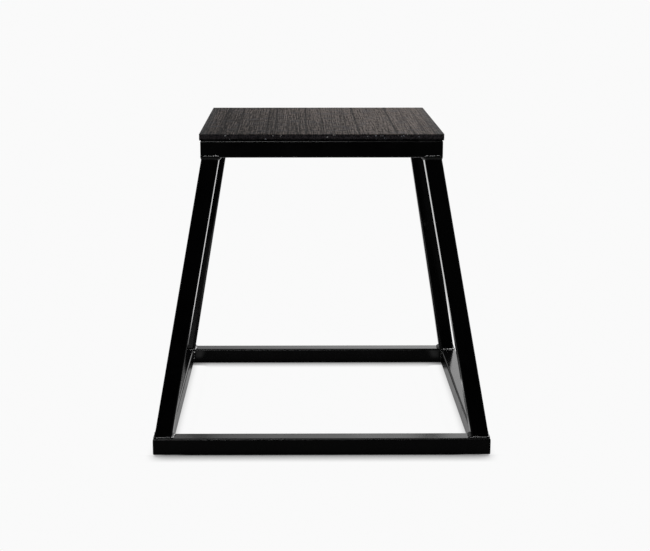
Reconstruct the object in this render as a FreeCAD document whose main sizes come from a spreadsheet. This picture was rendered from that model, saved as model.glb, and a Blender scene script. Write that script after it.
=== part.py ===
import FreeCAD, Part
import os
import Sketcher
from FreeCAD import Placement, Rotation, Vector

# Plyo box: a welded frame of square steel tube, a sheet-steel deck and a bonded rubber mat.
# Millimetres, +Z up. The front faces -Y, and the origin is on the floor, in the middle of the base.

SIZES = {
    "box_height": 457.0,          # floor to the top of the mat
    "base_side": 488.0,           # base frame, over its outer faces
    "top_side": 346.0,            # top frame, over its outer faces
    "tube_side": 25.0,            # square tube, outside
    "tube_wall": 1.5,
    "tube_inner_radius": 1.25,    # inside corner of the tube
    "leg_inset_foot": 1.85,       # leg's outer corner, in from the base frame's faces
    "leg_inset_head": 1.1,        # leg's outer corner, in from the top frame's faces
    "foot_weld": 4.5,             # how far the bead climbs the leg's foot
    "head_weld": 4.0,             # how far the bead runs down the leg's head
    "corner_weld": 3.5,           # fillet inside each mitred corner
    "bearer_weld": 3.5,           # fillet beside each end of the bearer
    "deck_thickness": 1.5,
    "deck_overhang": 1.5,         # past the rails' outer faces
    "deck_corner_radius": 3.0,
    "stitch_weld": 4.0,           # stitch under the deck, out from the rail's inner face
    "stitch_length": 30.0,
    "stitch_pitch": 160.0,        # between the two stitches on a rail
    "adhesive_thickness": 0.3,
    "adhesive_margin": 6.0,       # in from the mat's edge
    "mat_thickness": 7.5,
    "mat_overhang": 2.0,          # past the rails' outer faces
    "mat_corner_radius": 2.0,
    "mat_edge_radius": 0.8,       # round along the mat's top edge
}

# Sizes that follow from the sheet, as expressions on it.
TUBE = "Sizes.tube_side"
WALL = "Sizes.tube_wall"
TUBE_RADIUS = f"(Sizes.tube_inner_radius + {WALL})"
BASE = "Sizes.base_side"
TOP = "Sizes.top_side"
RAIL_TOP = "(Sizes.box_height - Sizes.mat_thickness - Sizes.adhesive_thickness - Sizes.deck_thickness)"
RAIL_BOTTOM = f"({RAIL_TOP} - {TUBE})"
BASE_INSIDE = f"({BASE} / 2 - {TUBE})"
TOP_INSIDE = f"({TOP} / 2 - {TUBE})"
MAT_SIDE = f"({TOP} + 2 * Sizes.mat_overhang)"

# A leg leans by the same amount on both axes. Cut level, it is widest across its outer and inner corners.
LEG_RISE = f"({RAIL_BOTTOM} - {TUBE})"
LEG_LEAN = f"((({BASE} - {TOP}) / 2 - Sizes.leg_inset_foot + Sizes.leg_inset_head) / {LEG_RISE})"
LEG_TILT = f"atan(sqrt(2) * {LEG_LEAN})"
LEG_HALF = f"({TUBE} / 2 * sqrt(1 + {LEG_LEAN}^2))"
LEG_CORNER = f"({TUBE} / 2 * sqrt(1 + 2 * {LEG_LEAN}^2))"

# A leg's axis, measured out from the middle of the box, where it meets the base and the top frame.
LEG_FOOT = f"({BASE} / 2 - Sizes.leg_inset_foot - {LEG_CORNER})"
LEG_HEAD = f"({TOP} / 2 - Sizes.leg_inset_head - {LEG_CORNER})"

# A bead starts half a wall inside the tube's flat, where the tube's round has run in by this much,
# and its thin edge is tucked a little way into the leg.
WELD_SINK = f"({WALL} / 2)"
WELD_RUN_IN = f"({TUBE_RADIUS} - sqrt({TUBE_RADIUS}^2 - ({TUBE_RADIUS} - {WELD_SINK})^2))"
WELD_TUCK = f"({WALL} / 4)"

SIDES = ("front", "right", "rear", "left")
CORNERS = {"front_right": (1, -1), "rear_right": (1, 1), "rear_left": (-1, 1), "front_left": (-1, -1)}
QUARTER_TURN = 90
UP = Vector(0, 0, 1)

# A sketch's own numbers for a curve's points and for its two axes, which meet at the origin.
START, END, CENTRE = range(1, 4)
X_AXIS, Y_AXIS = range(-1, -3, -1)
ORIGIN = (X_AXIS, START)

doc = FreeCAD.newDocument("plyo_box")
sheet = doc.addObject("Spreadsheet::Sheet", "Sizes")
for row, (alias, number) in enumerate(SIZES.items(), start=1):
    sheet.set(f"A{row}", alias)
    sheet.set(f"B{row}", str(number))
    sheet.setAlias(f"B{row}", alias)
doc.recompute()

nodes = []


def size(expression):
    """The number that an expression on the sheet has now."""
    return float(sheet.evalExpression(expression))


def bind(item, expressions):
    """Tie an object's properties to expressions on the sheet."""
    for path, expression in expressions.items():
        item.setExpression(path, expression)


def place(item, quarter, along, out, height):
    """Stand an object on one side of the box: along that side, out from the middle, and up."""
    cosine, sine = ((1, 0), (0, 1), (-1, 0), (0, -1))[quarter]
    item.Placement = Placement(Vector(), Rotation(UP, quarter * QUARTER_TURN))
    bind(item, {
        "Placement.Base.x": f"{cosine} * {along} + {sine} * {out}",
        "Placement.Base.y": f"{sine} * {along} - {cosine} * {out}",
        "Placement.Base.z": height,
    })


def new_body(label):
    return doc.addObject("PartDesign::Body", label)


def new_sketch(body, plane_role):
    sketch = body.newObject("Sketcher::SketchObject", f"{body.Name}_sketch")
    plane = next(item for item in body.Origin.OriginFeatures if item.Role == plane_role)
    sketch.AttachmentSupport = (plane, [""])
    sketch.MapMode = "FlatFace"
    return sketch


def new_pad(body, sketch, length, centred):
    pad = body.newObject("PartDesign::Pad", f"{body.Name}_pad")
    pad.Profile = sketch
    pad.SideType = "Symmetric" if centred else "One side"
    bind(pad, {"Length": length})
    return pad


def hold(sketch, name, kind, ends, expression):
    """Add a named distance or radius to a sketch and tie it to the sheet."""
    index = sketch.addConstraint(Sketcher.Constraint(kind, *ends, abs(size(expression))))
    sketch.renameConstraint(index, name)
    bind(sketch, {f"Constraints.{name}": f"abs({expression})"})


def draw_round_square(sketch, name, side, radius):
    """Draw a square with round corners, centred on the sketch."""
    half = size(side) / 2
    bend = size(radius)
    flat = half - bend
    mid_bend = flat + bend / 2 ** 0.5
    first = sketch.GeometryCount
    for quarter in range(4):
        turn = Rotation(UP, quarter * QUARTER_TURN)
        start, end, after = (turn.multVec(Vector(*point, 0)) for point in
                             ((-flat, -half), (flat, -half), (half, -flat)))
        on_bend = turn.multVec(Vector(mid_bend, -mid_bend, 0))
        sketch.addGeometry([Part.LineSegment(start, end), Part.Arc(end, on_bend, after)], False)
    lines = [first + 2 * quarter for quarter in range(4)]
    arcs = [line + 1 for line in lines]
    for quarter in range(4):
        following = lines[(quarter + 1) % 4]
        level = "Horizontal" if quarter % 2 == 0 else "Vertical"
        sketch.addConstraint(Sketcher.Constraint("Tangent", lines[quarter], END, arcs[quarter], START))
        sketch.addConstraint(Sketcher.Constraint("Tangent", arcs[quarter], END, following, START))
        sketch.addConstraint(Sketcher.Constraint(level, lines[quarter]))
    for arc in arcs[1:]:
        sketch.addConstraint(Sketcher.Constraint("Equal", arcs[0], arc))
    sketch.addConstraint(Sketcher.Constraint("Symmetric", arcs[0], CENTRE, arcs[2], CENTRE, *ORIGIN))
    hold(sketch, f"{name}_radius", "Radius", (arcs[0],), radius)
    hold(sketch, f"{name}_width", "DistanceX", (lines[3], START, lines[1], START), side)
    hold(sketch, f"{name}_depth", "DistanceY", (lines[0], START, lines[2], START), side)


def draw_polygon(sketch, name, corners):
    """Draw a closed polygon whose corners are pairs of expressions, measured from the origin."""
    first = sketch.GeometryCount
    points = [Vector(size(x), size(y), 0) for x, y in corners]
    count = len(points)
    for index, point in enumerate(points):
        sketch.addGeometry(Part.LineSegment(point, points[(index + 1) % count]), False)
    for index in range(count):
        line, following = first + index, first + (index + 1) % count
        sketch.addConstraint(Sketcher.Constraint("Coincident", line, END, following, START))
    for index, corner in enumerate(corners):
        for kind, axis, expression in (("DistanceX", "x", corner[0]), ("DistanceY", "y", corner[1])):
            ends = ORIGIN + (first + index, START)
            if size(expression) < 0:
                ends = (first + index, START) + ORIGIN
            hold(sketch, f"{name}_{axis}{index}", kind, ends, expression)


def hollow_tube(label, length):
    """A length of square tube along X, centred on the origin."""
    body = new_body(label)
    section = new_sketch(body, "YZ_Plane")
    draw_round_square(section, "outer", TUBE, TUBE_RADIUS)
    draw_round_square(section, "bore", f"({TUBE} - 2 * {WALL})", "Sizes.tube_inner_radius")
    new_pad(body, section, length, True)
    return body


def mitred_tube(label, frame_side, quarter, bottom):
    """One side of a square frame: a tube cut at 45 degrees at both ends, on a side of the box."""
    body = hollow_tube(label, frame_side)
    doc.recompute()
    uncut = body.Shape.Volume
    cut = new_sketch(body, "XY_Plane")
    end = f"({frame_side} / 2 + {WALL})"
    edge = f"({TUBE} / 2 + {WALL})"
    start = f"({frame_side} / 2 - {TUBE} - {WALL})"
    for name, sign in (("left", "-1"), ("right", "1")):
        corners = ((end, f"-{edge}"), (end, edge), (start, edge))
        draw_polygon(cut, name, [(f"{sign} * {x}", y) for x, y in corners])
    pocket = body.newObject("PartDesign::Pocket", f"{label}_mitre")
    pocket.Profile = cut
    pocket.Type = "ThroughAll"
    pocket.SideType = "Symmetric"
    place(body, quarter, "0", f"(({frame_side} - {TUBE}) / 2)", f"({bottom} + {TUBE} / 2)")
    doc.recompute()
    if body.Shape.Volume >= uncut:
        raise RuntimeError(f"the mitres of {label} cut nothing")
    nodes.append(body)
    return body


def leg_bar(label, hollow, signs):
    """A leaning bar along a leg's axis, longer than the leg at both ends."""
    body = new_body(label)
    section = new_sketch(body, "XY_Plane")
    draw_round_square(section, "outer", TUBE, TUBE_RADIUS)
    if hollow:
        draw_round_square(section, "bore", f"({TUBE} - 2 * {WALL})", "Sizes.tube_inner_radius")
    new_pad(body, section, f"{LEG_RISE} / cos({LEG_TILT}) + 2 * {TUBE}", True)
    sign_x, sign_y = signs
    body.Placement = Placement(Vector(), Rotation(Vector(sign_y, -sign_x, 0), size(LEG_TILT)))
    bind(body, {
        "Placement.Base.x": f"{sign_x} * ({LEG_FOOT} + {LEG_HEAD}) / 2",
        "Placement.Base.y": f"{sign_y} * ({LEG_FOOT} + {LEG_HEAD}) / 2",
        "Placement.Base.z": f"({TUBE} + {RAIL_BOTTOM}) / 2",
        "Placement.Rotation.Angle": LEG_TILT,
    })
    return body


def centred_block(label, side, bottom, height):
    block = doc.addObject("Part::Box", label)
    bind(block, {
        "Length": side,
        "Width": side,
        "Height": height,
        "Placement.Base.x": f"-{side} / 2",
        "Placement.Base.y": f"-{side} / 2",
        "Placement.Base.z": bottom,
    })
    return block


def boolean(kind, label, base, tool):
    result = doc.addObject(f"Part::{kind}", label)
    result.Base = base
    result.Tool = tool
    return result


def on_frame(axis, reach, frame_side):
    """A bead's outline on a frame: past the leg on the inside, to the frame's edge on the outside."""
    return f"{axis} - {LEG_HALF} - {reach}", f"{frame_side} / 2 - {WELD_RUN_IN}"


def on_leg(axis):
    """A bead's outline where it runs out on the leg."""
    return f"{axis} - {LEG_HALF} + {WELD_TUCK}", f"{axis} + {LEG_HALF} - {WELD_TUCK}"


def leg_weld(label, quarter, broad, narrow, cutters):
    """A bead round one end of a leg, between a broad outline on the frame and a narrow one on the leg.

    Each outline is its height and how far out it starts and ends, the same on both axes.
    """
    lower, upper = (broad, narrow) if size(broad[0]) < size(narrow[0]) else (narrow, broad)
    wedge = doc.addObject("Part::Wedge", f"{label}_wedge")
    for prefix, (height, near, far), level in (("", lower, "Ymin"), ("2", upper, "Ymax")):
        bind(wedge, {level: height})
        for axis in "XZ":
            bind(wedge, {f"{axis}{prefix}min": near, f"{axis}{prefix}max": far})
    upright = Rotation(Vector(1, 0, 0), QUARTER_TURN)
    wedge.Placement = Placement(Vector(), Rotation(UP, quarter * QUARTER_TURN) * upright)
    tool = doc.addObject("Part::MultiFuse", f"{label}_cutters")
    tool.Shapes = cutters
    nodes.append(boolean("Cut", label, wedge, tool))


def upright_fillet(label, corner, reach):
    """A three-sided bead along Z, in the corner between two upright faces."""
    body = new_body(label)
    section = new_sketch(body, "XY_Plane")
    x, y = corner
    step_x, step_y = reach
    draw_polygon(section, "bead", ((x, y), (f"({x} + {step_x})", y), (x, f"({y} + {step_y})")))
    new_pad(body, section, f"{TUBE} - 2 * {TUBE_RADIUS}", False)
    return body


def sheet_square(label, side, radius, thickness, bottom):
    """A square sheet with round corners, flat on the box's middle."""
    body = new_body(label)
    outline = new_sketch(body, "XY_Plane")
    draw_round_square(outline, "edge", side, radius)
    new_pad(body, outline, thickness, False)
    bind(body, {"Placement.Base.z": bottom})
    nodes.append(body)
    return body


def stitch_pair(label, quarter):
    """Two short beads in the groove between the deck and the round edge of one rail."""
    body = new_body(label)
    body.AllowCompound = True
    groove = new_sketch(body, "YZ_Plane")
    bend = size(TUBE_RADIUS)
    mid_bend = bend / 2 ** 0.5 - bend
    on_rail = Vector(0, -bend, 0)
    on_deck = Vector(-bend, 0, 0)
    free_edge = Vector(size("Sizes.stitch_weld"), 0, 0)
    groove.addGeometry([
        Part.LineSegment(on_deck, free_edge),
        Part.LineSegment(free_edge, on_rail),
        Part.Arc(on_rail, Vector(mid_bend, mid_bend, 0), on_deck),
    ], False)
    under_deck, face, arc = range(3)
    for kind, *ends in (
        ("Coincident", under_deck, END, face, START),
        ("Coincident", face, END, arc, START),
        ("Coincident", arc, END, under_deck, START),
        ("PointOnObject", under_deck, START, X_AXIS),
        ("PointOnObject", under_deck, END, X_AXIS),
        ("PointOnObject", face, END, Y_AXIS),
        ("Horizontal", arc, CENTRE, face, END),
        ("Vertical", arc, CENTRE, under_deck, START),
    ):
        groove.addConstraint(Sketcher.Constraint(kind, *ends))
    hold(groove, "rail_radius", "Radius", (arc,), TUBE_RADIUS)
    hold(groove, "reach", "DistanceX", ORIGIN + (under_deck, END), "Sizes.stitch_weld")
    stitch = new_pad(body, groove, "Sizes.stitch_length", True)
    pair = body.newObject("PartDesign::LinearPattern", f"{label}_pair")
    pair.Originals = [stitch]
    pair.Direction = (groove, ["N_Axis"])
    pair.Occurrences = 2
    bind(pair, {"Length": "Sizes.stitch_pitch"})
    body.Tip = pair
    place(body, quarter, "(-1 * Sizes.stitch_pitch / 2)", TOP_INSIDE, RAIL_TOP)
    nodes.append(body)


# Base frame: four mitred tubes on the floor.
base_tubes = [mitred_tube(f"base_{side}_tube", BASE, quarter, "0") for quarter, side in enumerate(SIDES)]

# Top frame: the same, at the top of the legs.
top_rails = [mitred_tube(f"top_{side}_rail", TOP, quarter, RAIL_BOTTOM) for quarter, side in enumerate(SIDES)]

# Each mitred corner of both frames is welded on the inside.
for frame_name, inside, bottom in (("base", BASE_INSIDE, "0"), ("top", TOP_INSIDE, RAIL_BOTTOM)):
    for quarter, corner_name in enumerate(CORNERS):
        corner = (inside, f"(-1 * {inside})")
        reach = ("-1 * Sizes.corner_weld", "Sizes.corner_weld")
        bead = upright_fillet(f"{frame_name}_corner_weld_{corner_name}", corner, reach)
        place(bead, quarter, "0", "0", f"{bottom} + {TUBE_RADIUS}")
        nodes.append(bead)

# Legs: leaning tubes, cut level where they stand on the base frame and where they carry the top frame.
# The open middle of each frame takes no weld.
leg_space = centred_block("leg_space", BASE, TUBE, LEG_RISE)
base_well = centred_block("base_well", f"(2 * {BASE_INSIDE})", "0", f"{TUBE} + 2 * Sizes.foot_weld")
top_well = centred_block("top_well", f"(2 * {TOP_INSIDE})", f"{RAIL_BOTTOM} - 2 * Sizes.head_weld",
                         f"{TUBE} + 2 * Sizes.head_weld")
for quarter, (corner_name, signs) in enumerate(CORNERS.items()):
    tube = leg_bar(f"leg_tube_{corner_name}", True, signs)
    solid = leg_bar(f"leg_solid_{corner_name}", False, signs)
    nodes.append(boolean("Common", f"leg_{corner_name}", tube, leg_space))
    beside = (quarter, (quarter + 1) % 4)
    leg_weld(
        f"foot_weld_{corner_name}", quarter,
        broad=(f"{TUBE} - {WELD_SINK}", *on_frame(LEG_FOOT, "Sizes.foot_weld", BASE)),
        narrow=(f"{TUBE} + Sizes.foot_weld", *on_leg(f"{LEG_FOOT} - {LEG_LEAN} * Sizes.foot_weld")),
        cutters=[solid, base_well] + [base_tubes[side] for side in beside],
    )
    leg_weld(
        f"head_weld_{corner_name}", quarter,
        broad=(f"{RAIL_BOTTOM} + {WELD_SINK}", *on_frame(LEG_HEAD, "Sizes.head_weld", TOP)),
        narrow=(f"{RAIL_BOTTOM} - Sizes.head_weld", *on_leg(f"{LEG_HEAD} + {LEG_LEAN} * Sizes.head_weld")),
        cutters=[solid, top_well] + [top_rails[side] for side in beside],
    )

# Bearer: a tube from the front rail to the rear rail, under the middle of the deck.
bearer = hollow_tube("deck_bearer", f"2 * {TOP_INSIDE}")
place(bearer, 1, "0", "0", f"({RAIL_BOTTOM} + {TUBE} / 2)")
nodes.append(bearer)
for quarter, side in ((0, "front"), (2, "rear")):
    beads = []
    for hand, sign in (("left", -1), ("right", 1)):
        corner = (f"({sign} * {TUBE} / 2)", f"(-1 * {TOP_INSIDE})")
        reach = (f"{sign} * Sizes.bearer_weld", "Sizes.bearer_weld")
        bead = upright_fillet(f"bearer_bead_{side}_{hand}", corner, reach)
        place(bead, quarter, "0", "0", f"{RAIL_BOTTOM} + {TUBE_RADIUS}")
        beads.append(bead)
    pair = doc.addObject("Part::Compound", f"bearer_weld_{side}")
    pair.Links = beads
    nodes.append(pair)

# Deck: a steel sheet on the rails and the bearer, held by two stitches inside each rail.
sheet_square("deck_plate", f"({TOP} + 2 * Sizes.deck_overhang)", "Sizes.deck_corner_radius",
             "Sizes.deck_thickness", RAIL_TOP)
for quarter, side in enumerate(SIDES):
    stitch_pair(f"deck_stitch_weld_{side}", quarter)

# Mat: a rubber sheet with a rounded top edge, bonded to the deck by a film set in from its edge.
sheet_square("mat_adhesive", f"({MAT_SIDE} - 2 * Sizes.adhesive_margin)", "Sizes.mat_corner_radius",
             "Sizes.adhesive_thickness", f"{RAIL_TOP} + Sizes.deck_thickness")
mat = sheet_square("rubber_mat", MAT_SIDE, "Sizes.mat_corner_radius",
                   "Sizes.mat_thickness", "Sizes.box_height - Sizes.mat_thickness")
doc.recompute()
mat_pad = mat.Tip
top_edges = [f"Edge{index}" for index, edge in enumerate(mat_pad.Shape.Edges, start=1)
             if edge.BoundBox.ZMin > size("Sizes.mat_thickness / 2")]
mat_round = mat.newObject("PartDesign::Fillet", "rubber_mat_round")
mat_round.Base = (mat_pad, top_edges)
bind(mat_round, {"Radius": "Sizes.mat_edge_radius"})
doc.recompute()

# Every object has to be sound before a file is written.
for item in doc.Objects:
    if {"Invalid", "Error"} & set(item.State):
        raise RuntimeError(f"{item.Label} failed: {item.State}")
for node in nodes:
    if node.Shape.isNull() or not node.Shape.isValid() or not node.Shape.Solids:
        raise RuntimeError(f"{node.Label} has no sound solid")

os.makedirs("parts", exist_ok=True)
for node in nodes:
    node.Shape.exportStep(f"parts/{node.Label}.step")
    print(f"{node.Label}: {len(node.Shape.Solids)} solids, {node.Shape.Volume:.1f} mm3")
print(f"{len(nodes)} nodes, legs lean {size(LEG_TILT):.2f} degrees")
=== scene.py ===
import math

import bpy
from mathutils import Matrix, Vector


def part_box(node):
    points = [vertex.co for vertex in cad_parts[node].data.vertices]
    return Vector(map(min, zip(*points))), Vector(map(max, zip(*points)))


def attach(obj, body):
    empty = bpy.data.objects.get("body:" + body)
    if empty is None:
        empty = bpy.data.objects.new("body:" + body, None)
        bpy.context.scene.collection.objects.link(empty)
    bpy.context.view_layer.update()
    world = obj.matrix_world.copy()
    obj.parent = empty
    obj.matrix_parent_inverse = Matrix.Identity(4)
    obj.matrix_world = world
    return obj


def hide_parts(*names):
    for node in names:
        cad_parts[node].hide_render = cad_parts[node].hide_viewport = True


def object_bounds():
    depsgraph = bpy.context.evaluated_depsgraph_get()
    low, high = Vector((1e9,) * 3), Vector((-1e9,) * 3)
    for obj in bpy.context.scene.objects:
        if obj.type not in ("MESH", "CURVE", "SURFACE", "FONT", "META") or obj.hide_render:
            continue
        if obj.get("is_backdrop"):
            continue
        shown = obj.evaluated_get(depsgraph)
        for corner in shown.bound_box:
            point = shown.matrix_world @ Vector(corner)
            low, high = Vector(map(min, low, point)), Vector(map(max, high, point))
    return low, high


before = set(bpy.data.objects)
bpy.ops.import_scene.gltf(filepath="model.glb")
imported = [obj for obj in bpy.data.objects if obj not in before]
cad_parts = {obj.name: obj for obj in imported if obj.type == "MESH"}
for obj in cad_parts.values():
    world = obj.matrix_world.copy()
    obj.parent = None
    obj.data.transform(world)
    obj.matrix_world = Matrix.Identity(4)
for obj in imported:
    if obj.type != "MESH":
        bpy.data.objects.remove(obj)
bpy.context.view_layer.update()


# Base frame: four lengths of square steel tube, mitred at the corners and welded into a ring that stands on
# the floor. It is sprayed with black powder and baked, which leaves a semi-gloss skin with a fine orange
# peel. The arrises are rubbed a little paler, and shoes have scuffed the front tube duller.
SIDES = ("front", "right", "rear", "left")
base_low, base_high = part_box("base_front_tube")
tube_half = (base_high.z - base_low.z) / 2
base_ring = base_high.x - tube_half
thick_black, thin_black = (0.0018, 0.0018, 0.0020, 1), (0.0034, 0.0034, 0.0036, 1)
speck_grey, rubbed_grey = (0.014, 0.014, 0.015, 1), (0.016, 0.016, 0.017, 1)


def lay(tree, kind, fill=None, **settings):
    """Lay a node in a tree, with its settings, and fill its sockets with values or with other sockets."""
    node = tree.nodes.new(kind)
    for name, setting in settings.items():
        setattr(node, name, setting)
    for name, filling in (fill or {}).items():
        if isinstance(filling, bpy.types.NodeSocket):
            tree.links.new(filling, node.inputs[name])
        else:
            node.inputs[name].default_value = filling
    return node


def reckon(tree, operation, *values):
    """The outcome of one sum on sockets and numbers."""
    return lay(tree, "ShaderNodeMath", dict(enumerate(values)), operation=operation).outputs[0]


def product(tree, first, *others):
    """Sockets and numbers multiplied together."""
    for other in others:
        first = reckon(tree, "MULTIPLY", first, other)
    return first


def apart(tree, first, second):
    """How far two values lie from each other."""
    return reckon(tree, "ABSOLUTE", reckon(tree, "SUBTRACT", first, second))


def ease(tree, value, low, high, start=0.0, end=1.0):
    """A value carried smoothly from one range to another, and held at its ends."""
    fill = {"Value": value, "From Min": low, "From Max": high, "To Min": start, "To Max": end}
    return lay(tree, "ShaderNodeMapRange", fill, interpolation_type="SMOOTHSTEP").outputs["Result"]


def tint(tree, amount, first, second):
    """One colour laid over another by an amount that changes over the surface."""
    return lay(tree, "ShaderNodeMix", {0: amount, 6: first, 7: second}, data_type="RGBA").outputs[2]


def cloud(tree, where, scale, detail=2.0, roughness=0.5):
    """Soft noise, with its scale in ups and downs to the metre."""
    fill = {"Vector": where, "Scale": scale, "Detail": detail, "Roughness": roughness}
    return lay(tree, "ShaderNodeTexNoise", fill).outputs["Fac"]


def split(tree, where):
    """The three measures of a place."""
    return lay(tree, "ShaderNodeSeparateXYZ", {0: where}).outputs


def outermost(tree, axes):
    """How far a point lies from the middle of the box, on the level axis where it is further out."""
    return reckon(tree, "MAXIMUM", reckon(tree, "ABSOLUTE", axes[0]), reckon(tree, "ABSOLUTE", axes[1]))


def new_group(name, inputs, outputs, kind="ShaderNodeTree"):
    """Start a node group with its named sockets, and hand back its tree, its inputs and its outputs."""
    group = bpy.data.node_groups.new(name, kind)
    for way, sockets in (("INPUT", inputs), ("OUTPUT", outputs)):
        for label, content in sockets.items():
            group.interface.new_socket(label, in_out=way, socket_type=f"NodeSocket{content}")
    return group, group.nodes.new("NodeGroupInput").outputs, group.nodes.new("NodeGroupOutput").inputs


def new_finish(name):
    """Start a material, and hand it back with its tree and the place of each point on the piece."""
    material = bpy.data.materials.new(name)
    material.use_nodes = True
    tree = material.node_tree
    return material, tree, lay(tree, "ShaderNodeTexCoord").outputs["Object"]


def surface(tree, colour, roughness, height, bump, depth, ior=1.5):
    """Lead a colour, a roughness and a relief of some depth to a material's shader."""
    relief = lay(tree, "ShaderNodeBump", {"Strength": bump, "Distance": depth, "Height": height})
    shader = tree.nodes["Principled BSDF"].inputs
    tree.links.new(colour, shader["Base Color"])
    tree.links.new(roughness, shader["Roughness"])
    tree.links.new(relief.outputs["Normal"], shader["Normal"])
    shader["IOR"].default_value = ior


powder_skin, given, result = new_group(
    "powder_skin", {"Place": "Vector", "Peel": "Float", "Grain": "Float"},
    {"Height": "Float", "Patch": "Float", "Speck": "Float"})
patch_scale, speck_scale, grain_share = 17.0, 900.0, 0.25
peel = cloud(powder_skin, given["Place"], given["Peel"], 1.0)
grain = cloud(powder_skin, given["Place"], given["Grain"], 2.0, 0.6)
patches = cloud(powder_skin, given["Place"], patch_scale, 4.0, 0.55)
specks = cloud(powder_skin, given["Place"], speck_scale, 1.0)
powder_skin.links.new(reckon(powder_skin, "MULTIPLY_ADD", grain, grain_share, peel), result["Height"])
powder_skin.links.new(ease(powder_skin, patches, 0.3, 0.7), result["Patch"])
powder_skin.links.new(ease(powder_skin, specks, 0.68, 0.76), result["Speck"])

arris_rub, given, result = new_group(
    "arris_rub", {"Place": "Vector", "Across": "Float", "Up": "Float", "Half": "Float"}, {"Rub": "Float"})
rub_scale = 70.0
nearer = reckon(arris_rub, "MINIMUM", given["Across"], given["Up"])
on_arris = ease(arris_rub, reckon(arris_rub, "DIVIDE", nearer, given["Half"]), 0.80, 0.95)
broken = ease(arris_rub, cloud(arris_rub, given["Place"], rub_scale, 4.0, 0.6), 0.42, 0.66)
arris_rub.links.new(product(arris_rub, on_arris, broken), result["Rub"])


def powder_coat(name, offsets=None, peel=420.0, bump=0.06, dull=0.18, ior=1.5):
    """Baked black powder. The offsets give how far a point lies from the middle of its tube on two axes."""
    grain, peel_depth = 2600.0, 0.0004
    speck_share, patch_dulls, rub_dulls = 0.4, 0.07, 0.10
    material, tree, place = new_finish(name)
    skin = lay(tree, "ShaderNodeGroup", {"Place": place, "Peel": peel, "Grain": grain},
               node_tree=powder_skin).outputs
    colour = tint(tree, skin["Patch"], thick_black, thin_black)
    colour = tint(tree, product(tree, skin["Speck"], speck_share), colour, speck_grey)
    roughness = reckon(tree, "MULTIPLY_ADD", skin["Patch"], patch_dulls, dull)
    if offsets:
        across, up = offsets(tree, place)
        rub = lay(tree, "ShaderNodeGroup", {"Place": place, "Across": across, "Up": up, "Half": tube_half},
                  node_tree=arris_rub).outputs["Rub"]
        colour = tint(tree, rub, colour, rubbed_grey)
        roughness = reckon(tree, "MULTIPLY_ADD", rub, rub_dulls, roughness)
    surface(tree, colour, roughness, skin["Height"], bump, peel_depth, ior)
    return material


def ring_offsets(ring, level):
    """For tubes in a mitred ring: how far a point lies in or out from their middle line, and up or down."""
    def offsets(tree, place):
        axes = split(tree, place)
        return apart(tree, outermost(tree, axes), ring), apart(tree, axes[2], level)
    return offsets


def dress(material, *nodes):
    """Give a material to pieces that keep their own mesh."""
    for name in nodes:
        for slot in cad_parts[name].material_slots:
            slot.material = material


base_offsets = ring_offsets(base_ring, tube_half)
dress(powder_coat("base_frame_coat", base_offsets, dull=0.12), *(f"base_{side}_tube" for side in SIDES[1:]))
dress(powder_coat("scuffed_front_coat", base_offsets, dull=0.24), "base_front_tube")


# Corner welds of the base: one upright run of weld metal inside each mitre, laid drop upon drop, so that it
# sets in ripples. Outside, the mitres are ground flush. The powder goes over the welds with the frame.
CORNERS = {"front_right": (1, -1), "rear_right": (1, 1), "rear_left": (-1, 1), "front_left": (-1, -1)}
base_inside = base_high.x - 2 * tube_half
flush_gap = 0.0001
flush_limit = base_high.x - flush_gap
ripple_overlap, ripple_lean, drop_fullness = 1.3, 0.12, 1.35
weld_coat = powder_coat("weld_coat", peel=700.0, bump=0.05, dull=0.14, ior=2.2)


def join(tree, x=0.0, y=0.0, z=0.0):
    """A place, a size or a turn from three measures."""
    return lay(tree, "ShaderNodeCombineXYZ", {"X": x, "Y": y, "Z": z}).outputs[0]


def carried(tree, label):
    """A measure that the mesh carries from point to point."""
    return lay(tree, "GeometryNodeInputNamedAttribute", {"Name": label}, data_type="FLOAT").outputs[0]


def any_size(tree, least, most, seed):
    """A random size for each point, between two limits."""
    return lay(tree, "FunctionNodeRandomValue", {2: least, 3: most, 8: seed}, data_type="FLOAT").outputs[1]


weld_run, given, result = new_group(
    "weld_run",
    {"Path": "Geometry", "Ripple Pitch": "Float", "Ripple Thickness": "Float", "Ripple Lean": "Float",
     "Fullness": "Float", "Unevenness": "Float", "Seed": "Int", "Outer Limit": "Float", "Coat": "Material"},
    {"Bead": "Geometry"}, "GeometryNodeTree")
path = lay(weld_run, "GeometryNodeMeshToCurve", {"Mesh": given["Path"]}).outputs[0]
drops = lay(weld_run, "GeometryNodeResampleCurve", {"Curve": path, "Length": given["Ripple Pitch"]},
            mode="LENGTH").outputs[0]
along = lay(weld_run, "GeometryNodeInputTangent").outputs[0]
facing = lay(weld_run, "FunctionNodeAlignRotationToVector", {"Vector": along},
             axis="Y", pivot_axis="AUTO").outputs[0]
leaning = lay(weld_run, "FunctionNodeRotateRotation", {0: facing, 1: join(weld_run, given["Ripple Lean"])},
              rotation_space="LOCAL").outputs[0]
least = reckon(weld_run, "SUBTRACT", 1.0, given["Unevenness"])
most = reckon(weld_run, "ADD", 1.0, given["Unevenness"])
swell = any_size(weld_run, least, most, given["Seed"])
girth = join(weld_run, product(weld_run, carried(weld_run, "reach"), swell), given["Ripple Thickness"],
             product(weld_run, carried(weld_run, "climb"), swell))
drop = lay(weld_run, "GeometryNodeMeshUVSphere", {"Segments": 12, "Rings": 6, "Radius": 1.0}).outputs["Mesh"]
axes = split(weld_run, lay(weld_run, "GeometryNodeInputPosition").outputs[0])
squares = reckon(weld_run, "MULTIPLY_ADD", axes[0], axes[0], product(weld_run, axes[2], axes[2]))
powers = [reckon(weld_run, "POWER", reckon(weld_run, "ABSOLUTE", axis), given["Fullness"])
          for axis in (axes[0], axes[2])]
root = reckon(weld_run, "DIVIDE", 1.0, given["Fullness"])
full_size = reckon(weld_run, "POWER", reckon(weld_run, "ADD", *powers), root)
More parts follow.
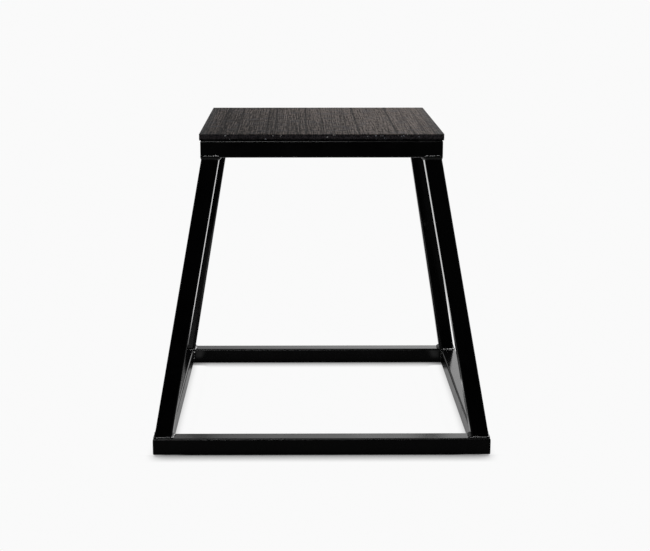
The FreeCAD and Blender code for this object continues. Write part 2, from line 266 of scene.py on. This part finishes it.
draw_in = reckon(weld_run, "DIVIDE", reckon(weld_run, "SQRT", squares), full_size)
flatter = join(weld_run, product(weld_run, axes[0], draw_in), axes[1], product(weld_run, axes[2], draw_in))
shaped = lay(weld_run, "GeometryNodeSetPosition", {"Geometry": drop, "Position": flatter}).outputs[0]
smooth = lay(weld_run, "GeometryNodeSetShadeSmooth", {"Geometry": shaped}).outputs[0]
laid = lay(weld_run, "GeometryNodeInstanceOnPoints", {
    "Points": drops, "Instance": smooth, "Rotation": leaning, "Scale": girth}).outputs[0]
fused = lay(weld_run, "GeometryNodeRealizeInstances", {"Geometry": laid}).outputs[0]
other_limit = product(weld_run, given["Outer Limit"], -1.0)
flush = [reckon(weld_run, "MAXIMUM", reckon(weld_run, "MINIMUM", axis, given["Outer Limit"]), other_limit)
         for axis in axes[:2]]
ground = lay(weld_run, "GeometryNodeSetPosition", {
    "Geometry": fused, "Position": join(weld_run, *flush, axes[2])}).outputs[0]
coated = lay(weld_run, "GeometryNodeSetMaterial", {"Geometry": ground, "Material": given["Coat"]}).outputs[0]
weld_run.links.new(coated, result["Bead"])


def grow(piece, tree, settings):
    """Run a geometry tree on a piece and keep the outcome as a plain mesh."""
    modifier = piece.modifiers.new(tree.name, "NODES")
    modifier.node_group = tree
    for socket in tree.interface.items_tree:
        if socket.in_out == "INPUT" and socket.name in settings:
            modifier[socket.identifier] = settings[socket.name]
    ready = piece.evaluated_get(bpy.context.evaluated_depsgraph_get())
    mesh = bpy.data.meshes.new_from_object(ready)
    piece.modifiers.clear()
    piece.data = mesh


def put(name, data):
    """Put a thing of its own into the scene."""
    thing = bpy.data.objects.new(name, data)
    bpy.context.scene.collection.objects.link(thing)
    return thing


def new_piece(name, points, edges, faces):
    """Put a piece into the scene, with a mesh of points, edges and faces."""
    mesh = bpy.data.meshes.new(name)
    mesh.from_pydata(points, edges, faces)
    return put(name, mesh)


def weld(node, runs, seed, pitch=0.0018, uneven=0.10):
    """Lay the weld metal of one joint along runs of points, each with its place, its reach and its climb."""
    points, edges = [], []
    for run in runs:
        edges += [(len(points) + index, len(points) + index + 1) for index in range(len(run) - 1)]
        points += run
    piece = new_piece(f"{node}_bead", [point for point, _, _ in points], edges, [])
    for column, label in ((1, "reach"), (2, "climb")):
        attribute = piece.data.attributes.new(label, "FLOAT", "POINT")
        attribute.data.foreach_set("value", [point[column] for point in points])
    grow(piece, weld_run, {"Ripple Pitch": pitch, "Ripple Thickness": pitch * ripple_overlap,
                           "Ripple Lean": ripple_lean, "Fullness": drop_fullness, "Unevenness": uneven,
                           "Seed": seed, "Outer Limit": flush_limit, "Coat": weld_coat})
    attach(piece, "root")
    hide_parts(node)


def upright_run(x, y, bottom, top, reach):
    """A run up an inside corner, drawn in at both ends."""
    tip, taper = reach * 0.3, (0.6, 1, 1, 0.75)
    heights = (bottom + tip, bottom + reach, top - reach, top - tip)
    return [((x, y, z), reach * part, reach * part) for z, part in zip(heights, taper)]


for seed, (corner, (sx, sy)) in enumerate(CORNERS.items()):
    low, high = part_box(f"base_corner_weld_{corner}")
    weld(f"base_corner_weld_{corner}",
         [upright_run(sx * base_inside, sy * base_inside, low.z, high.z, high.x - low.x)], seed)


# Legs: four lengths of the same tube that lean inwards on both axes, cut level at the foot and at the head,
# so that each cut is a little wider than the tube. The coat is smoothest here, and its arrises are rubbed
# where the box is carried.
leg_low, leg_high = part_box("leg_front_right")
level_half = 0.01269
foot_axis, head_axis = 0.22927, 0.15902
leg_lean = (foot_axis - head_axis) / (leg_high.z - leg_low.z)


def leg_offsets(tree, place):
    """How far a point lies from a leg's leaning middle line, on the two level axes."""
    axes = split(tree, place)
    middle = reckon(tree, "MULTIPLY_ADD", axes[2], -leg_lean, foot_axis + leg_lean * leg_low.z)
    return [apart(tree, reckon(tree, "ABSOLUTE", axis), middle) for axis in axes[:2]]


leg_coat = powder_coat("leg_coat", leg_offsets, bump=0.03, dull=0.05)
dress(leg_coat, *(f"leg_{corner}" for corner in CORNERS))


# Foot welds: a run round each leg where it stands on the base. It is broad on the tubes' flats and narrow on
# the outside, where only the round edge of the base is left to take it, and it is ground flush there. The
# inner corner stays open.
tube_round = 0.00275
quarter_steps = 4
leg_weld_pitch, leg_weld_uneven = 0.0024, 0.16


def leg_run(signs, axis, level, inside, broad, narrow, climb):
    """The run round one end of a leg, from one inner face over the outer corner to the other inner face."""
    tip, full, turn_in = 0.0012, 0.004, 0.006
    tip_reach, tip_climb, outer_climb = 0.55, 0.6, 0.95
    near, far = axis - level_half, axis + level_half
    angles = [math.radians(90 * step / quarter_steps) for step in range(quarter_steps + 1)]
    turns = [(tube_round * (1 - math.cos(angle)), tube_round * (1 - math.sin(angle))) for angle in angles]
    half_run = [((near, inside + tip), broad * tip_reach, tip_climb), ((near, inside + full), broad, 1.0),
                ((near, far - turn_in), broad, 1.0)]
    for step, (out, back) in enumerate(turns):
        half_run.append(((near + out, far - back), broad + (narrow - broad) * step / quarter_steps, 1.0))
    half_run.append(((far - tube_round, far), narrow, outer_climb))
    half_run += [((far - back, far - out), narrow, outer_climb) for out, back in turns[1:3]]
    whole_run = half_run + [((v, u), reach, part) for (u, v), reach, part in half_run[-2::-1]]
    return [((signs[0] * u, signs[1] * v, level), reach, climb * part) for (u, v), reach, part in whole_run]


for seed, (corner, signs) in enumerate(CORNERS.items(), start=10):
    run = leg_run(signs, foot_axis, leg_low.z, base_inside, broad=0.0044, narrow=0.0016, climb=0.0030)
    weld(f"foot_weld_{corner}", [run], seed, leg_weld_pitch, leg_weld_uneven)


# Top frame: four rails of the same tube in a smaller mitred ring, set level on the legs' heads to carry the
# deck. It has the frame's black powder, with the edges of the rails rubbed where hands and shoes brush them.
top_low, top_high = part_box("top_front_rail")
top_ring, top_inside = top_high.x - tube_half, top_high.x - 2 * tube_half
top_coat = powder_coat("top_frame_coat", ring_offsets(top_ring, (top_low.z + top_high.z) / 2))
dress(top_coat, *(f"top_{side}_rail" for side in SIDES))


# Welds of the top frame: an upright run inside each mitre, and a run round the head of each leg under the
# rails, which comes out taller than the run at the foot. They are powdered with the frame.
head_weld_rise = 0.0008
for seed, (corner, (sx, sy)) in enumerate(CORNERS.items(), start=20):
    low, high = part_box(f"top_corner_weld_{corner}")
    weld(f"top_corner_weld_{corner}",
         [upright_run(sx * top_inside, sy * top_inside, low.z, high.z, high.x - low.x)], seed)
    run = leg_run((sx, sy), head_axis, leg_high.z + head_weld_rise, top_inside,
                  broad=0.0038, narrow=0.0021, climb=0.0046)
    weld(f"head_weld_{corner}", [run], seed + 10, leg_weld_pitch, leg_weld_uneven)


# Deck bearer: one more tube from the front rail to the rear rail, which keeps the thin deck from dishing.
# It is welded beside each end, and hidden in use.
bearer_low, bearer_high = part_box("deck_bearer")


def bearer_offsets(tree, place):
    """How far a point lies from the bearer's middle line, which runs front to rear."""
    axes = split(tree, place)
    return reckon(tree, "ABSOLUTE", axes[0]), apart(tree, axes[2], (bearer_low.z + bearer_high.z) / 2)


dress(powder_coat("bearer_coat", bearer_offsets), "deck_bearer")
for seed, (side, sy) in enumerate((("front", -1), ("rear", 1)), start=40):
    low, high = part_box(f"bearer_weld_{side}")
    reach = high.x - tube_half
    runs = [upright_run(sx * tube_half, sy * top_inside, low.z, high.z, reach) for sx in (-1, 1)]
    weld(f"bearer_weld_{side}", runs, seed)


# Deck: a square of sheet steel on the rails and the bearer, powdered with the frame, and held from below
# by two short stitches of weld inside each rail.
deck_low, deck_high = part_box("deck_plate")
stitch_middle, stitch_full, stitch_half = 0.08, 0.0125, 0.0143
stitch_reach, stitch_climb = 0.0036, 0.0026


def deck_offsets(tree, place):
    """How near the sheet's outer edge a point lies, in the measure of a tube's half side."""
    edge = reckon(tree, "SUBTRACT", outermost(tree, split(tree, place)), deck_high.x - tube_half)
    return edge, edge


dress(powder_coat("deck_coat", deck_offsets), "deck_plate")
for seed, (side, (along_x, along_y)) in enumerate(zip(SIDES, ((1, 0), (0, 1), (-1, 0), (0, -1))), start=50):
    runs = []
    for middle in (-stitch_middle, stitch_middle):
        run = []
        for step, part in ((-stitch_half, 0.6), (-stitch_full, 1), (stitch_full, 1), (stitch_half, 0.7)):
            spot = Vector((along_x, along_y)) * (middle + step) + Vector((along_y, -along_x)) * top_inside
            run.append(((*spot, deck_low.z), stitch_reach * part, stitch_climb * part))
        runs.append(run)
    weld(f"deck_stitch_weld_{side}", runs, seed)


# Adhesive: a film of contact adhesive between the deck and the mat, spread with a comb that drags it into
# fine ridges from front to rear. It is set in from the mat's edge, so that none squeezes out.
comb_across, comb_along = 400.0, 30.0
thin_amber, thick_amber = (0.115, 0.080, 0.042, 1), (0.215, 0.165, 0.095, 1)
film, tree, place = new_finish("adhesive_film")
comb = lay(tree, "ShaderNodeMapping", {"Vector": place, "Scale": (comb_across, comb_along, comb_along)})
drag = cloud(tree, comb.outputs[0], 1.0, 3.0)
surface(tree, tint(tree, drag, thin_amber, thick_amber), ease(tree, drag, 0.3, 0.7, 0.35, 0.6), drag,
        bump=0.5, depth=0.0002)
dress(film, "mat_adhesive")


# Mat: a sheet of dark rubber, moulded with fine ribs that run front to rear, knife-cut to a square with its
# top edge eased, and bonded to the deck. Dust and wear show as warm grey streaks along the ribs and blotches
# across them, and some of the valleys have torn into seams. Painted light makes the colour paler towards the
# right, and it is also paler towards the rear. Painted shade darkens the valleys of the ribs and the seams.
mat_low, mat_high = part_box("rubber_mat")
cut_back, worn_down = 0.0003, 0.00016
mat_half, mat_top = mat_high.x - cut_back, mat_high.z - worn_down
mat_round, mat_ease = 0.002, 0.0008
core, flat = mat_half - mat_round, mat_half - mat_ease
edge_steps = (0.0, 0.0002, 0.0005, 0.0009, 0.0012)
margin = [flat - step for step in edge_steps]
ease_angles = [math.radians(angle) for angle in (22.5, 45, 67.5, 90)]
cut_drops = (0.0022, 0.0038, 0.0055, mat_top - mat_low.z)
rib_count, row_count = 224, 60
rib_pitch = 2 * margin[-1] / rib_count


def spread(count):
    """Lines across the flat of the mat, closer together at its two edges."""
    inner = [-margin[-1] + 2 * margin[-1] * index / count for index in range(1, count)]
    return [-line for line in margin] + inner + margin[::-1]


# The mesh carries land, which is 1 on the flat of the mat, 0 at the edge of the flat and -1 on the cut face.
columns, rows = spread(2 * rib_count), spread(row_count)
points, faces, land = [], [], []
for y in rows:
    for x in columns:
        out = Vector((max(abs(x) - core, 0), max(abs(y) - core, 0)))
        if out.length > flat - core:
            out = out.normalized() * (flat - core)
        plan = [math.copysign(min(abs(value), core) + part, value) for value, part in zip((x, y), out)]
        points.append((*plan, mat_top))
        land.append(min(1.0, max(0.0, (flat - max(abs(x), abs(y))) / edge_steps[-1])))
wide, deep = len(columns), len(rows)
for row in range(deep - 1):
    for column in range(wide - 1):
        start = row * wide + column
        faces.append((start, start + 1, start + wide + 1, start + wide))
rim = [*range(wide), *range(2 * wide - 1, deep * wide, wide),
       *range(deep * wide - 2, (deep - 1) * wide - 1, -1), *range((deep - 2) * wide, 0, -wide)]
ring, count = rim, len(rim)
levels = [(mat_ease * math.sin(angle), mat_ease * (1 - math.cos(angle))) for angle in ease_angles]
levels += [(mat_ease, drop) for drop in cut_drops]
for out, drop in levels:
    below = []
    for index in rim:
        x, y, _ = points[index]
        away = Vector((x - max(-core, min(core, x)), y - max(-core, min(core, y)))).normalized()
        below.append(len(points))
        points.append((x + away.x * out, y + away.y * out, mat_top - drop))
        land.append(-1.0 if out == mat_ease else 0.0)
    faces += [(ring[(i + 1) % count], ring[i], below[i], below[(i + 1) % count]) for i in range(count)]
    ring = below
faces.append(ring[::-1])
mat = new_piece("rubber_mat_sheet", points, [], faces)
mat.data.attributes.new("land", "FLOAT", "POINT").data.foreach_set("value", land)
mat.data.shade_smooth()

valley_black, dust_and_light_grey = (0.007, 0.0057, 0.0052, 1), (0.168, 0.1390, 0.1245, 1)
cool_grey, border_grey = (0.064, 0.064, 0.074, 1), (0.055, 0.059, 0.064, 1)
seam_shade_black = (0.010, 0.0090, 0.0090, 1)
cut_black, crumb_grey = (0.021, 0.0192, 0.0210, 1), (0.080, 0.071, 0.078, 1)
cool_share, border_share, seam_shade_share = 0.4, 0.5, 0.9
cool_scale, crumb_scale, pore_scale = 42.0, 520.0, 1800.0
dash_step, dash_along, streak_step, streak_along = 7.31, 14.0, 3.77, 3.5
blotch_across, blotch_along, dust_across, dust_along = 45.0, 5.0, 160.0, 85.0
streak_share, proud_share, blotch_share, dust_share = 0.2, 0.49, 0.25, 0.55
beside_share, dash_relief = -0.4, 0.4
mat_rubber, tree, place = new_finish("pressed_rubber")
axes = split(tree, place)
groove_shade, land_left = (lay(tree, "ShaderNodeAttribute", attribute_name=label).outputs["Fac"]
                     for label in ("groove_shade", "land"))
rib = reckon(tree, "FLOOR", reckon(tree, "MULTIPLY_ADD", axes[0], 1 / rib_pitch, rib_count / 2))


def rib_cloud(step, along, beside=0):
    """Noise that runs along each rib by itself, or along a rib beside it, and starts anew on the next one."""
    where = join(tree, reckon(tree, "MULTIPLY_ADD", rib, step, beside * step), product(tree, axes[1], along))
    return ease(tree, cloud(tree, where, 1.0, 1.0), 0.33, 0.67)


def drawn_out(across, along):
    """Noise over many ribs, drawn out from front to rear."""
    where = lay(tree, "ShaderNodeMapping", {"Vector": place, "Scale": (across, along, across)})
    return cloud(tree, where.outputs[0], 1.0, 3.0, 0.6)


dash, dash_before, dash_after = (rib_cloud(dash_step, dash_along, beside) for beside in (0, -1, 1))
proud = reckon(tree, "MULTIPLY_ADD", reckon(tree, "ADD", dash_before, dash_after), beside_share, dash)
streak = rib_cloud(streak_step, streak_along)
blotch = drawn_out(blotch_across, blotch_along)
dust = ease(tree, drawn_out(dust_across, dust_along), 0.33, 0.67)
# Painted light: the colour is made paler towards the right, where more light falls. It is also made paler
# towards the rear.
painted_light_right = ease(tree, axes[0], -0.26, 0.17, -0.355, 0.045)
paler_towards_rear = ease(tree, axes[1], -0.2, 0.2, -0.09, 0.085)
tone = reckon(tree, "ADD", painted_light_right, paler_towards_rear)
for part, share in ((streak, streak_share), (proud, proud_share), (blotch, blotch_share), (dust, dust_share)):
    tone = reckon(tree, "MULTIPLY_ADD", part, share, tone)
# The pale end of this blend is reached by dust and streaks, and by the painted light towards the right.
colour = tint(tree, ease(tree, tone, -0.12, 1.14), valley_black, dust_and_light_grey)
cool = ease(tree, cloud(tree, place, cool_scale, 2.0), 0.50, 0.68)
colour = tint(tree, product(tree, cool, cool_share), colour, cool_grey)
border = ease(tree, reckon(tree, "ABSOLUTE", axes[0]), 0.158, 0.172)
colour = tint(tree, product(tree, border, border_share), colour, border_grey)
# Painted shade: the colour is darkened in the valleys of the ribs and in the torn seams.
colour = tint(tree, product(tree, groove_shade, seam_shade_share), colour, seam_shade_black)
crumbs = ease(tree, cloud(tree, place, crumb_scale, 2.0), 0.35, 0.65)
colour = tint(tree, ease(tree, land_left, -0.2, -0.8), colour, tint(tree, crumbs, cut_black, crumb_grey))
dullness = ease(tree, tone, -0.3, 0.8, 0.92, 0.74)
relief = reckon(tree, "MULTIPLY_ADD", dash, dash_relief, cloud(tree, place, pore_scale, 2.0))
surface(tree, colour, dullness, relief, bump=0.5, depth=0.0003, ior=1.2)

mat_ribs, given, result = new_group(
    "mat_ribs",
    {"Sheet": "Geometry", "Rib Pitch": "Float", "Rib Depth": "Float", "Rib Wear": "Float",
     "Seam Depth": "Float", "Seam Width": "Float", "Seam Sway": "Float", "Crumble": "Float",
     "Seed": "Float", "Rubber": "Material"},
    {"Sheet": "Geometry"}, "GeometryNodeTree")
wear_across, wear_along, sway_along = 60.0, 8.0, 9.0
seam_step, tear_along, least_torn = 9.7, 22.0, 0.65
bite_scale, valley_shade = 420.0, 0.45
where = lay(mat_ribs, "GeometryNodeInputPosition").outputs[0]
axes = split(mat_ribs, where)
on_land = carried(mat_ribs, "land")


def rib_lines(first, along):
    """Noise from front to rear, the same all the way across for one first number."""
    spot = join(mat_ribs, first, product(mat_ribs, axes[1], along), given["Seed"])
    return cloud(mat_ribs, spot, 1.0, 1.0)


phase = reckon(mat_ribs, "FRACT", reckon(mat_ribs, "DIVIDE", axes[0], given["Rib Pitch"]))
valley = reckon(mat_ribs, "ABSOLUTE", reckon(mat_ribs, "MULTIPLY_ADD", phase, 2.0, -1.0))
flattened = ease(mat_ribs, rib_lines(product(mat_ribs, axes[0], wear_across), wear_along), 0.4, 0.65)
flattened = product(mat_ribs, flattened, given["Rib Wear"])
valley = product(mat_ribs, valley, reckon(mat_ribs, "SUBTRACT", 1.0, flattened))
sway = reckon(mat_ribs, "SUBTRACT", rib_lines(0.0, sway_along), 0.5)
sway = reckon(mat_ribs, "MULTIPLY_ADD", sway, given["Seam Sway"], axes[0])

# Each row of seams has the share of the full depth that they reach, and their places across the mat.
seam_rows = ((1.0, (-0.1470, -0.1443, 0.0540)), (0.95, (-0.1225, -0.0795, -0.0675, -0.0218, 0.1080)),
             (0.65, (-0.1400, -0.0735, -0.0315, 0.0022, 0.0380, 0.1320, 0.1500, 0.1620)))
seams = 0.0
for number, (share, seam) in enumerate(((share, seam) for share, row in seam_rows for seam in row), start=1):
    gap = reckon(mat_ribs, "DIVIDE", apart(mat_ribs, sway, seam), given["Seam Width"])
    torn = ease(mat_ribs, rib_lines(number * seam_step, tear_along), 0.30, 0.50, least_torn * share, share)
    seams = reckon(mat_ribs, "MAXIMUM", seams, product(mat_ribs, ease(mat_ribs, gap, 1.0, 0.3), torn))
seam_hollow = product(mat_ribs, seams, given["Seam Depth"])
hollow = reckon(mat_ribs, "MULTIPLY_ADD", valley, given["Rib Depth"], seam_hollow)
inner = ease(mat_ribs, on_land, 0.0, 1.0)
sink = join(mat_ribs, z=product(mat_ribs, hollow, inner, -1.0))
ribbed = lay(mat_ribs, "GeometryNodeSetPosition", {"Geometry": given["Sheet"], "Offset": sink}).outputs[0]
cut_face = product(mat_ribs, ease(mat_ribs, on_land, -0.2, -0.8), given["Crumble"])
bite = product(mat_ribs, cloud(mat_ribs, where, bite_scale, 3.0, 0.65), cut_face, -1.0)
outwards = lay(mat_ribs, "GeometryNodeInputNormal").outputs[0]
nibble = lay(mat_ribs, "ShaderNodeVectorMath", {0: outwards, "Scale": bite}, operation="SCALE").outputs[0]
crumbly = lay(mat_ribs, "GeometryNodeSetPosition", {"Geometry": ribbed, "Offset": nibble}).outputs[0]
# Painted shade: the valleys of the ribs and the torn seams are stored as a mask that darkens the rubber's
# colour.
shadowed = reckon(mat_ribs, "MAXIMUM", product(mat_ribs, valley, valley_shade), seams)
marked = lay(mat_ribs, "GeometryNodeStoreNamedAttribute", {
    "Geometry": crumbly, "Name": "groove_shade", "Value": product(mat_ribs, inner, shadowed)},
    data_type="FLOAT", domain="POINT").outputs[0]
whole = lay(mat_ribs, "GeometryNodeRealizeInstances", {"Geometry": marked}).outputs[0]
finished = lay(mat_ribs, "GeometryNodeSetMaterial", {
    "Geometry": whole, "Material": given["Rubber"]}).outputs[0]
mat_ribs.links.new(finished, result["Sheet"])
grow(mat, mat_ribs, {"Rib Pitch": rib_pitch, "Rib Depth": 0.0003, "Rib Wear": 0.6, "Seam Depth": 0.0004,
                     "Seam Width": 0.0024, "Seam Sway": 0.0012, "Crumble": 0.0005, "Seed": 3.7,
                     "Rubber": mat_rubber})
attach(mat, "root")
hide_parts("rubber_mat")


# Flecks: pale crumbs of old rubber that went into the mix, bared where the knife cut the sheet. They lie flat
# in the cut face, in loose clusters, with more of them towards the corners.
blue_grey, bone, soot = (0.56, 0.60, 0.68, 1), (0.80, 0.78, 0.76, 1), (0.08, 0.076, 0.074, 1)
kind_scale, stain_scale = 160.0, 2400.0
fleck_rubber, tree, place = new_finish("fleck_rubber")
pale = tint(tree, ease(tree, cloud(tree, place, kind_scale, 0.0), 0.35, 0.65), blue_grey, bone)
stain = cloud(tree, place, stain_scale, 2.0)
surface(tree, tint(tree, ease(tree, stain, 0.4, 0.7, 0.0, 0.6), pale, soot),
        ease(tree, stain, 0.3, 0.7, 0.75, 0.9), stain, bump=0.5, depth=0.0002)

bared_flecks, given, result = new_group(
    "bared_flecks",
    {"Sheet": "Geometry", "Flecks": "Float", "Clusters": "Float", "Least Size": "Float",
     "Most Size": "Float", "Top": "Float", "Seed": "Int", "Rubber": "Material"},
    {"Flecks": "Geometry"}, "GeometryNodeTree")
fleck_width, fleck_height, raggedness = 0.65, 0.15, 1.7
full_turn, top_gap = 6.283, 0.0002
where = lay(bared_flecks, "GeometryNodeInputPosition").outputs[0]
axes = split(bared_flecks, where)
edge = ease(bared_flecks, carried(bared_flecks, "land"), -0.7, -0.99)
crowd = ease(bared_flecks, cloud(bared_flecks, where, given["Clusters"], 1.0), 0.42, 0.66, 0.15, 2.2)
to_corners = ease(bared_flecks, reckon(bared_flecks, "ABSOLUTE", axes[0]), 0.06, 0.13, 0.35, 1.3)
density = product(bared_flecks, edge, product(bared_flecks, crowd, to_corners), given["Flecks"])
sown = lay(bared_flecks, "GeometryNodeDistributePointsOnFaces", {
    "Mesh": given["Sheet"], "Density": density, "Seed": given["Seed"]}).outputs
size = any_size(bared_flecks, given["Least Size"], given["Most Size"], given["Seed"])
spin = lay(bared_flecks, "FunctionNodeRandomValue", {
    0: (0, 0, 0), 1: (0, 0, full_turn), 8: given["Seed"]}, data_type="FLOAT_VECTOR").outputs[0]
turned = lay(bared_flecks, "FunctionNodeRotateRotation", {0: sown["Rotation"], 1: spin},
             rotation_space="LOCAL").outputs[0]
shape = join(bared_flecks, size, product(bared_flecks, size, fleck_width),
             product(bared_flecks, size, fleck_height))
crumb = lay(bared_flecks, "GeometryNodeMeshIcoSphere", {"Radius": 1.0, "Subdivisions": 2}).outputs["Mesh"]
dents = lay(bared_flecks, "ShaderNodeTexNoise", {"Scale": raggedness}).outputs["Color"]
dents = lay(bared_flecks, "ShaderNodeVectorMath", {0: dents, 1: (0.5, 0.5, 0.5)},
            operation="SUBTRACT").outputs[0]
ragged = lay(bared_flecks, "GeometryNodeSetPosition", {"Geometry": crumb, "Offset": dents}).outputs[0]
strewn = lay(bared_flecks, "GeometryNodeInstanceOnPoints", {
    "Points": sown["Points"], "Instance": ragged, "Rotation": turned, "Scale": shape}).outputs[0]
real = lay(bared_flecks, "GeometryNodeRealizeInstances", {"Geometry": strewn}).outputs[0]
under_top = join(bared_flecks, axes[0], axes[1], reckon(bared_flecks, "MINIMUM", axes[2], given["Top"]))
trimmed = lay(bared_flecks, "GeometryNodeSetPosition", {"Geometry": real, "Position": under_top}).outputs[0]
finished = lay(bared_flecks, "GeometryNodeSetMaterial", {
    "Geometry": trimmed, "Material": given["Rubber"]}).outputs[0]
bared_flecks.links.new(finished, result["Flecks"])
flecks = put("mat_flecks", mat.data.copy())
grow(flecks, bared_flecks, {"Flecks": 15000.0, "Clusters": 22.0, "Least Size": 0.0004, "Most Size": 0.0014,
                            "Top": mat_top - top_gap, "Seed": 5, "Rubber": fleck_rubber})
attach(flecks, "root")


# Floor: a plain pale studio floor that keeps a soft shadow where the box stands. The black coat mirrors it as
# pale behind the box, inside the base and in a strip along the side tubes, and as dark elsewhere. The side
# below is clear, so that the box can be looked at from underneath.
floor_radius, floor_sides, floor_drop = 2.0, 96, 0.0002
studio_white, matt_grey = 0.955, (0.3, 0.3, 0.3, 1)
mirror_dark, mirror_strip, mirror_inside = 0.05, 0.42, 0.7
shadow_width, side_width = 0.030, 0.012
shadow_depth, side_depths, shadow_fall = 1.2, (0.9, 0.45), 1.45

# Each fade runs from its first place to its second, in metres from the middle of the box.
front_fade, rear_fade, side_fade = (-0.246, -0.240), (0.212, 0.196), (0.185, 0.215)
depth_fade, corner_fade, outer_fade = (0.225, 0.240), (-0.238, -0.248), (0.240, 0.258)
strip_rear, strip_inner, strip_outer = (0.200, 0.168), (0.203, 0.211), (0.226, 0.217)
inside_sides, inside_front, inside_rear = (0.200, 0.190), (-0.20, -0.18), (0.10, 0.07)
behind_fade = (0.25, 0.6)
turns = [math.tau * index / floor_sides for index in range(floor_sides)]
floor = new_piece("floor", [(floor_radius * math.cos(turn), floor_radius * math.sin(turn), -floor_drop)
                            for turn in turns], [], [tuple(range(floor_sides))])
pale_floor, tree, place = new_finish("pale_floor")
tree.nodes.remove(tree.nodes["Principled BSDF"])
ray = lay(tree, "ShaderNodeLightPath").outputs
axes = split(tree, place)
away = reckon(tree, "ABSOLUTE", axes[0])
between = product(tree, ease(tree, axes[1], *front_fade), ease(tree, axes[1], *rear_fade))
beside = product(tree, between, ease(tree, away, *side_fade))
width = ease(tree, beside, 0.0, 1.0, shadow_width, side_width)
sky = join(tree, y=0.64, z=0.77)
shade = lay(tree, "ShaderNodeAmbientOcclusion", {"Distance": width, "Normal": sky}, samples=16).outputs["AO"]
side_depth = ease(tree, away, *depth_fade, *side_depths)
past_corner = product(tree, ease(tree, axes[1], *corner_fade), ease(tree, away, *outer_fade))
depth = product(tree, ease(tree, beside, 0.0, 1.0, shadow_depth, side_depth),
                reckon(tree, "SUBTRACT", 1.0, past_corner))
dark = product(tree, reckon(tree, "POWER", reckon(tree, "SUBTRACT", 1.0, shade), shadow_fall), depth)
light = product(tree, reckon(tree, "SUBTRACT", 1.0, reckon(tree, "MINIMUM", dark, 1.0)), studio_white)
along_tubes = product(tree, between, ease(tree, axes[1], *strip_rear), ease(tree, away, *strip_outer),
                      ease(tree, away, *strip_inner, mirror_dark, mirror_strip))
inside = product(tree, ease(tree, away, *inside_sides), ease(tree, axes[1], *inside_front),
                 ease(tree, axes[1], *inside_rear, mirror_dark, mirror_inside))
behind = ease(tree, axes[1], *behind_fade, mirror_dark, 1.0)
mirrored = reckon(tree, "MAXIMUM", reckon(tree, "MAXIMUM", along_tubes, inside), behind)
strength = product(tree, light, reckon(tree, "MAXIMUM", ray["Is Camera Ray"], mirrored))
glow = lay(tree, "ShaderNodeEmission", {"Strength": strength}).outputs[0]
matt = lay(tree, "ShaderNodeBsdfDiffuse", {"Color": matt_grey}).outputs[0]
seen = reckon(tree, "MAXIMUM", ray["Is Camera Ray"],
              reckon(tree, "MAXIMUM", ray["Is Glossy Ray"], ray["Is Transmission Ray"]))
above = lay(tree, "ShaderNodeMixShader", {0: seen, 1: matt, 2: glow}).outputs[0]
clear = lay(tree, "ShaderNodeBsdfTransparent").outputs[0]
below = lay(tree, "ShaderNodeNewGeometry").outputs["Backfacing"]
tree.links.new(lay(tree, "ShaderNodeMixShader", {0: below, 1: above, 2: clear}).outputs[0],
               tree.nodes["Material Output"].inputs["Surface"])
floor.data.materials.append(pale_floor)
floor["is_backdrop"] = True


# Light: a large softbox above the box on its right, a weak strip light above the camera, and a pale wall
# behind the box that falls off to a dark room behind the camera, so that upright faces stay black and level
# faces catch the wall.
world = bpy.data.worlds.new("studio")
bpy.context.scene.world = world
world.use_nodes = True
tree = world.node_tree
aim = split(tree, lay(tree, "ShaderNodeTexCoord").outputs["Generated"])
wall_foot, wall_head = ease(tree, aim[2], 0.0, 0.17, 0.12, 1.0), ease(tree, aim[2], 0.6, 0.9, 1.0, 0.5)
paler_right = ease(tree, aim[0], -0.16, 0.15, 0.36, 1.25)
under_level = ease(tree, aim[2], 0.0, -0.04)
paler_rear = ease(tree, aim[1], -0.3, 0.75, 0.008, 1.0)
wall = reckon(tree, "MAXIMUM", product(tree, wall_foot, wall_head, paler_right), under_level)
surround = tree.nodes["Background"]
tree.links.new(product(tree, wall, paler_rear), surround.inputs["Strength"])
surround.inputs["Color"].default_value = (1, 1, 1, 1)
backdrop_white = (studio_white, studio_white, studio_white, 1)
backdrop = lay(tree, "ShaderNodeBackground", {"Color": backdrop_white, "Strength": 1.0}).outputs[0]
to_camera = lay(tree, "ShaderNodeLightPath").outputs["Is Camera Ray"]
shown = lay(tree, "ShaderNodeMixShader", {0: to_camera, 1: surround.outputs[0], 2: backdrop}).outputs[0]
tree.links.new(shown, tree.nodes["World Output"].inputs["Surface"])

lit_spot = Vector((0, 0, 0.3))
for name, spot, wide, deep, power in (("softbox", (1.00, 0.25, 1.35), 1.2, 0.8, 20.0),
                                      ("strip_light", (-0.35, -2.2, 1.9), 0.9, 0.4, 8.0)):
    lamp = put(name, bpy.data.lights.new(name, "AREA"))
    lamp.data.shape = "RECTANGLE"
    lamp.data.size, lamp.data.size_y, lamp.data.energy = wide, deep, power
    lamp.location = spot
    lamp.rotation_euler = (lit_spot - lamp.location).to_track_quat("-Z", "Y").to_euler()


# Camera: about two metres in front of the box, a little to its left and higher than the mat, looking slightly
# down through a long lens. A small shift puts the box in its place in the picture.
yaw, pitch = 0.006, 0.2296
gaze = Vector((math.sin(yaw) * math.cos(pitch), math.cos(yaw) * math.cos(pitch), -math.sin(pitch)))
camera = put("camera", bpy.data.cameras.new("camera"))
camera.location = (-0.0338, -2.1155, 0.7044)
camera.rotation_euler = gaze.to_track_quat("-Z", "Y").to_euler()
camera.data.sensor_width = 36.0
camera.data.lens = 75.91
camera.data.shift_x = 0.029
bpy.context.scene.camera = camera
bpy.context.scene.view_settings.view_transform = "Standard"

low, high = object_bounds()
